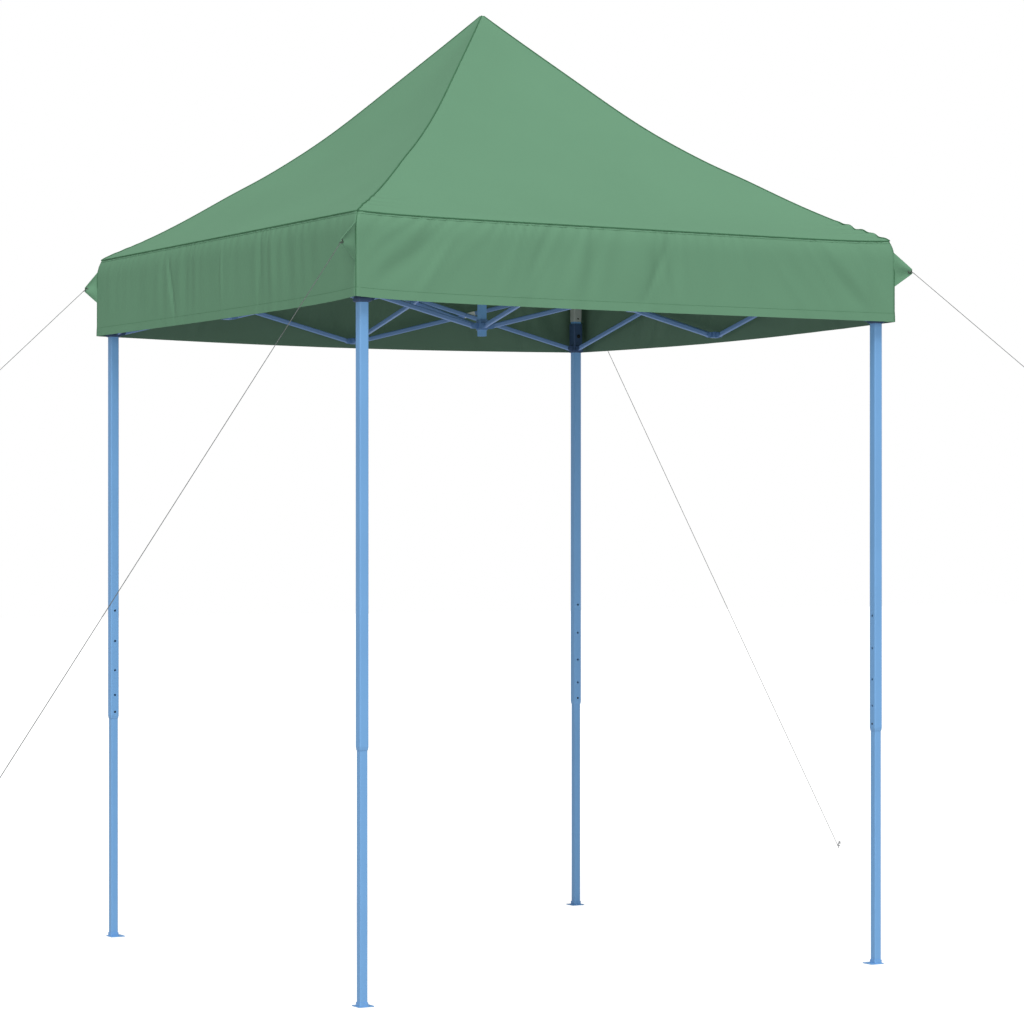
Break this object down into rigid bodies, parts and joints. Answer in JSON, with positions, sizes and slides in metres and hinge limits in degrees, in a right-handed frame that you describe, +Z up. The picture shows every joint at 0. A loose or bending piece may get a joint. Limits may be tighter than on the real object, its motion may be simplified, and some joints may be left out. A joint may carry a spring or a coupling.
{
  "type": "pop up gazebo",
  "caption": "Pop up gazebo with telescopic legs, folding scissor truss, centre pole, dished square fabric roof with valance, and guy ropes.",
  "frame": {"origin": "on the floor under the centre pole, centre of the four legs", "axes": "+Z up along the centre pole, +X and +Y along the sides of the square"},
  "size_m": [6.3116, 4.8048, 3.106],
  "materials": {
    "canopy_fabric": "coated green polyester, satin",
    "guy_rope": "twisted grey cord",
    "grey_plastic": "moulded grey plastic",
    "black_plastic": "moulded black plastic",
    "blue_plastic": "moulded dark blue plastic",
    "blue_fittings": "moulded blue plastic",
    "blue_frame": "powder coated steel tube"
  },
  "bodies": {
    "upper_hub": {"upper_hub": "blue_fittings", "canopy": "canopy_fabric"},
    "front_right_arm_falling": {"front_right_arm_falling": "blue_frame"},
    "front_right_low_connector": {"front_right_low_connector": "blue_fittings"},
    "front_right_bar_rising_1": {"front_right_bar_rising_1": "blue_frame"},
    "front_right_bar_rising_2": {"front_right_bar_rising_2": "blue_frame"},
    "front_right_bar_falling_1": {"front_right_bar_falling_1": "blue_frame"},
    "front_right_bar_falling_2": {"front_right_bar_falling_2": "blue_frame"},
    "front_outer_leg": {"front_outer_leg": "blue_frame", "front_corner_bracket": "grey_plastic", "front_guy_rope": "guy_rope"},
    "front_inner_leg": {"front_inner_leg": "blue_frame"},
    "front_slider": {"front_slider": "blue_plastic"},
    "front_catch_button": {"front_catch_button": "black_plastic"},
    "front_right_arm_rising": {"front_right_arm_rising": "blue_frame"},
    "front_right_top_connector": {"front_right_top_connector": "blue_fittings"},
    "lower_hub": {"lower_hub": "blue_fittings", "centre_pole": "blue_frame"},
    "back_right_arm_falling": {"back_right_arm_falling": "blue_frame"},
    "back_right_low_connector": {"back_right_low_connector": "blue_fittings"},
    "back_right_bar_rising_1": {"back_right_bar_rising_1": "blue_frame"},
    "back_right_bar_rising_2": {"back_right_bar_rising_2": "blue_frame"},
    "back_right_bar_falling_1": {"back_right_bar_falling_1": "blue_frame"},
    "back_right_bar_falling_2": {"back_right_bar_falling_2": "blue_frame"},
    "right_outer_leg": {"right_outer_leg": "blue_frame", "right_corner_bracket": "grey_plastic", "right_guy_rope": "guy_rope"},
    "right_inner_leg": {"right_inner_leg": "blue_frame"},
    "right_slider": {"right_slider": "blue_plastic"},
    "right_catch_button": {"right_catch_button": "black_plastic"},
    "back_right_arm_rising": {"back_right_arm_rising": "blue_frame"},
    "back_right_top_connector": {"back_right_top_connector": "blue_fittings"},
    "back_left_arm_falling": {"back_left_arm_falling": "blue_frame"},
    "back_left_low_connector": {"back_left_low_connector": "blue_fittings"},
    "back_left_bar_rising_1": {"back_left_bar_rising_1": "blue_frame"},
    "back_left_bar_rising_2": {"back_left_bar_rising_2": "blue_frame"},
    "back_left_bar_falling_1": {"back_left_bar_falling_1": "blue_frame"},
    "back_left_bar_falling_2": {"back_left_bar_falling_2": "blue_frame"},
    "back_outer_leg": {"back_outer_leg": "blue_frame", "back_corner_bracket": "grey_plastic", "back_guy_rope": "guy_rope"},
    "back_inner_leg": {"back_inner_leg": "blue_frame"},
    "back_slider": {"back_slider": "blue_plastic"},
    "back_catch_button": {"back_catch_button": "black_plastic"},
    "back_left_arm_rising": {"back_left_arm_rising": "blue_frame"},
    "back_left_top_connector": {"back_left_top_connector": "blue_fittings"},
    "front_left_arm_falling": {"front_left_arm_falling": "blue_frame"},
    "front_left_low_connector": {"front_left_low_connector": "blue_fittings"},
    "front_left_bar_rising_1": {"front_left_bar_rising_1": "blue_frame"},
    "front_left_bar_rising_2": {"front_left_bar_rising_2": "blue_frame"},
    "front_left_bar_falling_1": {"front_left_bar_falling_1": "blue_frame"},
    "front_left_bar_falling_2": {"front_left_bar_falling_2": "blue_frame"},
    "left_outer_leg": {"left_outer_leg": "blue_frame", "left_corner_bracket": "grey_plastic", "left_guy_rope": "guy_rope"},
    "left_inner_leg": {"left_inner_leg": "blue_frame"},
    "left_slider": {"left_slider": "blue_plastic"},
    "left_catch_button": {"left_catch_button": "black_plastic"},
    "front_left_arm_rising": {"front_left_arm_rising": "blue_frame"},
    "front_left_top_connector": {"front_left_top_connector": "blue_fittings"}
  },
  "joints": [
    {"name": "fold", "type": "hinge", "parent": "upper_hub", "child": "front_right_arm_falling", "pos_m": [0, -0.032, 2.29], "axis": [1, 0, 0], "range_deg": [0, 73.5], "deforming": ["canopy"]},
    {"name": "front_right_low_connector_turn", "type": "hinge", "parent": "front_right_arm_falling", "child": "front_right_low_connector", "pos_m": [0, -0.908, 2.075], "axis": [1, 0, 0], "range_deg": [-73.6, 0]},
    {"name": "front_right_bar_rising_1_fold", "type": "hinge", "parent": "front_right_low_connector", "child": "front_right_bar_rising_1", "pos_m": [-0.022, -0.93, 2.075], "axis": [0, 1, 0], "range_deg": [0, 73.6]},
    {"name": "front_right_bar_rising_2_fold", "type": "hinge", "parent": "front_right_low_connector", "child": "front_right_bar_rising_2", "pos_m": [0.022, -0.93, 2.075], "axis": [0, -1, 0], "range_deg": [0, 73.6]},
    {"name": "front_right_bar_falling_1_cross", "type": "hinge", "parent": "front_right_bar_rising_1", "child": "front_right_bar_falling_1", "pos_m": [-0.46, -0.93, 2.1825], "axis": [0, 1, 0], "range_deg": [-147.2, 0]},
    {"name": "front_right_bar_falling_2_cross", "type": "hinge", "parent": "front_right_bar_rising_2", "child": "front_right_bar_falling_2", "pos_m": [0.46, -0.93, 2.1825], "axis": [0, 1, 0], "range_deg": [0, 147.2]},
    {"name": "front_leg_turn", "type": "hinge", "parent": "front_right_bar_rising_1", "child": "front_outer_leg", "pos_m": [-0.898, -0.93, 2.29], "axis": [0, 1, 0], "range_deg": [-73.6, 0]},
    {"name": "front_leg_extension", "type": "slide", "parent": "front_outer_leg", "child": "front_inner_leg", "axis": [0, 0, 1], "range_m": [0, 0.69]},
    {"name": "front_slider_turn", "type": "hinge", "parent": "front_right_bar_falling_1", "child": "front_slider", "pos_m": [-0.898, -0.93, 2.075], "axis": [0, 1, 0], "range_deg": [0, 73.6]},
    {"name": "front_catch_press", "type": "slide", "parent": "front_slider", "child": "front_catch_button", "axis": [-1, 0, 0], "range_m": [0, 0.0025], "stiffness_N_per_m": 1500, "springref_m": -0.003},
    {"name": "front_right_arm_cross", "type": "hinge", "parent": "front_right_arm_falling", "child": "front_right_arm_rising", "pos_m": [0, -0.47, 2.1825], "axis": [1, 0, 0], "range_deg": [-147.2, 0]},
    {"name": "front_right_top_connector_turn", "type": "hinge", "parent": "front_right_arm_rising", "child": "front_right_top_connector", "pos_m": [0, -0.908, 2.29], "axis": [1, 0, 0], "range_deg": [0, 73.6]},
    {"name": "lower_hub_turn", "type": "hinge", "parent": "front_right_arm_rising", "child": "lower_hub", "pos_m": [0, -0.032, 2.075], "axis": [1, 0, 0], "range_deg": [0, 73.6]},
    {"name": "back_right_arm_fold", "type": "hinge", "parent": "upper_hub", "child": "back_right_arm_falling", "pos_m": [0.032, 0, 2.29], "axis": [0, 1, 0], "range_deg": [0, 73.6]},
    {"name": "back_right_low_connector_turn", "type": "hinge", "parent": "back_right_arm_falling", "child": "back_right_low_connector", "pos_m": [0.908, 0, 2.075], "axis": [0, 1, 0], "range_deg": [-73.6, 0]},
    {"name": "back_right_bar_rising_1_fold", "type": "hinge", "parent": "back_right_low_connector", "child": "back_right_bar_rising_1", "pos_m": [0.93, -0.022, 2.075], "axis": [-1, 0, 0], "range_deg": [0, 73.6]},
    {"name": "back_right_bar_rising_2_fold", "type": "hinge", "parent": "back_right_low_connector", "child": "back_right_bar_rising_2", "pos_m": [0.93, 0.022, 2.075], "axis": [1, 0, 0], "range_deg": [0, 73.6]},
    {"name": "back_right_bar_falling_1_cross", "type": "hinge", "parent": "back_right_bar_rising_1", "child": "back_right_bar_falling_1", "pos_m": [0.93, -0.46, 2.1825], "axis": [-1, 0, 0], "range_deg": [-147.2, 0]},
    {"name": "back_right_bar_falling_2_cross", "type": "hinge", "parent": "back_right_bar_rising_2", "child": "back_right_bar_falling_2", "pos_m": [0.93, 0.46, 2.1825], "axis": [-1, 0, 0], "range_deg": [0, 147.2]},
    {"name": "right_leg_turn", "type": "hinge", "parent": "back_right_bar_rising_1", "child": "right_outer_leg", "pos_m": [0.93, -0.898, 2.29], "axis": [-1, 0, 0], "range_deg": [-73.6, 0]},
    {"name": "right_leg_extension", "type": "slide", "parent": "right_outer_leg", "child": "right_inner_leg", "axis": [0, 0, 1], "range_m": [0, 0.69]},
    {"name": "right_slider_turn", "type": "hinge", "parent": "back_right_bar_falling_1", "child": "right_slider", "pos_m": [0.93, -0.898, 2.075], "axis": [-1, 0, 0], "range_deg": [0, 73.6]},
    {"name": "right_catch_press", "type": "slide", "parent": "right_slider", "child": "right_catch_button", "axis": [1, 0, 0], "range_m": [0, 0.0025], "stiffness_N_per_m": 1500, "springref_m": -0.003},
    {"name": "back_right_arm_cross", "type": "hinge", "parent": "back_right_arm_falling", "child": "back_right_arm_rising", "pos_m": [0.47, 0, 2.1825], "axis": [0, 1, 0], "range_deg": [-147.2, 0]},
    {"name": "back_right_top_connector_turn", "type": "hinge", "parent": "back_right_arm_rising", "child": "back_right_top_connector", "pos_m": [0.908, 0, 2.29], "axis": [0, 1, 0], "range_deg": [0, 73.6]},
    {"name": "back_left_arm_fold", "type": "hinge", "parent": "upper_hub", "child": "back_left_arm_falling", "pos_m": [0, 0.032, 2.29], "axis": [-1, 0, 0], "range_deg": [0, 73.6]},
    {"name": "back_left_low_connector_turn", "type": "hinge", "parent": "back_left_arm_falling", "child": "back_left_low_connector", "pos_m": [0, 0.908, 2.075], "axis": [-1, 0, 0], "range_deg": [-73.6, 0]},
    {"name": "back_left_bar_rising_1_fold", "type": "hinge", "parent": "back_left_low_connector", "child": "back_left_bar_rising_1", "pos_m": [0.022, 0.93, 2.075], "axis": [0, -1, 0], "range_deg": [0, 73.6]},
    {"name": "back_left_bar_rising_2_fold", "type": "hinge", "parent": "back_left_low_connector", "child": "back_left_bar_rising_2", "pos_m": [-0.022, 0.93, 2.075], "axis": [0, 1, 0], "range_deg": [0, 73.6]},
    {"name": "back_left_bar_falling_1_cross", "type": "hinge", "parent": "back_left_bar_rising_1", "child": "back_left_bar_falling_1", "pos_m": [0.46, 0.93, 2.1825], "axis": [0, -1, 0], "range_deg": [-147.2, 0]},
    {"name": "back_left_bar_falling_2_cross", "type": "hinge", "parent": "back_left_bar_rising_2", "child": "back_left_bar_falling_2", "pos_m": [-0.46, 0.93, 2.1825], "axis": [0, -1, 0], "range_deg": [0, 147.2]},
    {"name": "back_leg_turn", "type": "hinge", "parent": "back_left_bar_rising_1", "child": "back_outer_leg", "pos_m": [0.898, 0.93, 2.29], "axis": [0, -1, 0], "range_deg": [-73.6, 0]},
    {"name": "back_leg_extension", "type": "slide", "parent": "back_outer_leg", "child": "back_inner_leg", "axis": [0, 0, 1], "range_m": [0, 0.69]},
    {"name": "back_slider_turn", "type": "hinge", "parent": "back_left_bar_falling_1", "child": "back_slider", "pos_m": [0.898, 0.93, 2.075], "axis": [0, -1, 0], "range_deg": [0, 73.6]},
    {"name": "back_catch_press", "type": "slide", "parent": "back_slider", "child": "back_catch_button", "axis": [0, 1, 0], "range_m": [0, 0.0025], "stiffness_N_per_m": 1500, "springref_m": -0.003},
    {"name": "back_left_arm_cross", "type": "hinge", "parent": "back_left_arm_falling", "child": "back_left_arm_rising", "pos_m": [0, 0.47, 2.1825], "axis": [-1, 0, 0], "range_deg": [-147.2, 0]},
    {"name": "back_left_top_connector_turn", "type": "hinge", "parent": "back_left_arm_rising", "child": "back_left_top_connector", "pos_m": [0, 0.908, 2.29], "axis": [-1, 0, 0], "range_deg": [0, 73.6]},
    {"name": "front_left_arm_fold", "type": "hinge", "parent": "upper_hub", "child": "front_left_arm_falling", "pos_m": [-0.032, 0, 2.29], "axis": [0, -1, 0], "range_deg": [0, 73.6]},
    {"name": "front_left_low_connector_turn", "type": "hinge", "parent": "front_left_arm_falling", "child": "front_left_low_connector", "pos_m": [-0.908, 0, 2.075], "axis": [0, -1, 0], "range_deg": [-73.6, 0]},
    {"name": "front_left_bar_rising_1_fold", "type": "hinge", "parent": "front_left_low_connector", "child": "front_left_bar_rising_1", "pos_m": [-0.93, 0.022, 2.075], "axis": [1, 0, 0], "range_deg": [0, 73.6]},
    {"name": "front_left_bar_rising_2_fold", "type": "hinge", "parent": "front_left_low_connector", "child": "front_left_bar_rising_2", "pos_m": [-0.93, -0.022, 2.075], "axis": [-1, 0, 0], "range_deg": [0, 73.6]},
    {"name": "front_left_bar_falling_1_cross", "type": "hinge", "parent": "front_left_bar_rising_1", "child": "front_left_bar_falling_1", "pos_m": [-0.93, 0.46, 2.1825], "axis": [1, 0, 0], "range_deg": [-147.2, 0]},
    {"name": "front_left_bar_falling_2_cross", "type": "hinge", "parent": "front_left_bar_rising_2", "child": "front_left_bar_falling_2", "pos_m": [-0.93, -0.46, 2.1825], "axis": [1, 0, 0], "range_deg": [0, 147.2]},
    {"name": "left_leg_turn", "type": "hinge", "parent": "front_left_bar_rising_1", "child": "left_outer_leg", "pos_m": [-0.93, 0.898, 2.29], "axis": [1, 0, 0], "range_deg": [-73.6, 0]},
    {"name": "left_leg_extension", "type": "slide", "parent": "left_outer_leg", "child": "left_inner_leg", "axis": [0, 0, 1], "range_m": [0, 0.69]},
    {"name": "left_slider_turn", "type": "hinge", "parent": "front_left_bar_falling_1", "child": "left_slider", "pos_m": [-0.93, 0.898, 2.075], "axis": [1, 0, 0], "range_deg": [0, 73.6]},
    {"name": "left_catch_press", "type": "slide", "parent": "left_slider", "child": "left_catch_button", "axis": [0, 1, 0], "range_m": [0, 0.0025], "stiffness_N_per_m": 1500, "springref_m": -0.003},
    {"name": "front_left_arm_cross", "type": "hinge", "parent": "front_left_arm_falling", "child": "front_left_arm_rising", "pos_m": [-0.47, 0, 2.1825], "axis": [0, -1, 0], "range_deg": [-147.2, 0]},
    {"name": "front_left_top_connector_turn", "type": "hinge", "parent": "front_left_arm_rising", "child": "front_left_top_connector", "pos_m": [-0.908, 0, 2.29], "axis": [0, -1, 0], "range_deg": [0, 73.6]}
  ],
  "couplings": [
    {"joint": "front_right_low_connector_turn", "follows": "fold", "ratio": -1},
    {"joint": "front_right_bar_rising_1_fold", "follows": "fold", "ratio": 1},
    {"joint": "front_right_bar_rising_2_fold", "follows": "fold", "ratio": 1},
    {"joint": "front_right_bar_falling_1_cross", "follows": "fold", "ratio": -2},
    {"joint": "front_right_bar_falling_2_cross", "follows": "fold", "ratio": 2},
    {"joint": "front_leg_turn", "follows": "fold", "ratio": -1},
    {"joint": "front_slider_turn", "follows": "fold", "ratio": 1},
    {"joint": "front_right_arm_cross", "follows": "fold", "ratio": -2},
    {"joint": "front_right_top_connector_turn", "follows": "fold", "ratio": 1},
    {"joint": "lower_hub_turn", "follows": "fold", "ratio": 1},
    {"joint": "back_right_arm_fold", "follows": "fold", "ratio": 1},
    {"joint": "back_right_low_connector_turn", "follows": "fold", "ratio": -1},
    {"joint": "back_right_bar_rising_1_fold", "follows": "fold", "ratio": 1},
    {"joint": "back_right_bar_rising_2_fold", "follows": "fold", "ratio": 1},
    {"joint": "back_right_bar_falling_1_cross", "follows": "fold", "ratio": -2},
    {"joint": "back_right_bar_falling_2_cross", "follows": "fold", "ratio": 2},
    {"joint": "right_leg_turn", "follows": "fold", "ratio": -1},
    {"joint": "right_slider_turn", "follows": "fold", "ratio": 1},
    {"joint": "back_right_arm_cross", "follows": "fold", "ratio": -2},
    {"joint": "back_right_top_connector_turn", "follows": "fold", "ratio": 1},
    {"joint": "back_left_arm_fold", "follows": "fold", "ratio": 1},
    {"joint": "back_left_low_connector_turn", "follows": "fold", "ratio": -1},
    {"joint": "back_left_bar_rising_1_fold", "follows": "fold", "ratio": 1},
    {"joint": "back_left_bar_rising_2_fold", "follows": "fold", "ratio": 1},
    {"joint": "back_left_bar_falling_1_cross", "follows": "fold", "ratio": -2},
    {"joint": "back_left_bar_falling_2_cross", "follows": "fold", "ratio": 2},
    {"joint": "back_leg_turn", "follows": "fold", "ratio": -1},
    {"joint": "back_slider_turn", "follows": "fold", "ratio": 1},
    {"joint": "back_left_arm_cross", "follows": "fold", "ratio": -2},
    {"joint": "back_left_top_connector_turn", "follows": "fold", "ratio": 1},
    {"joint": "front_left_arm_fold", "follows": "fold", "ratio": 1},
    {"joint": "front_left_low_connector_turn", "follows": "fold", "ratio": -1},
    {"joint": "front_left_bar_rising_1_fold", "follows": "fold", "ratio": 1},
    {"joint": "front_left_bar_rising_2_fold", "follows": "fold", "ratio": 1},
    {"joint": "front_left_bar_falling_1_cross", "follows": "fold", "ratio": -2},
    {"joint": "front_left_bar_falling_2_cross", "follows": "fold", "ratio": 2},
    {"joint": "left_leg_turn", "follows": "fold", "ratio": -1},
    {"joint": "left_slider_turn", "follows": "fold", "ratio": 1},
    {"joint": "front_left_arm_cross", "follows": "fold", "ratio": -2},
    {"joint": "front_left_top_connector_turn", "follows": "fold", "ratio": 1}
  ]
}
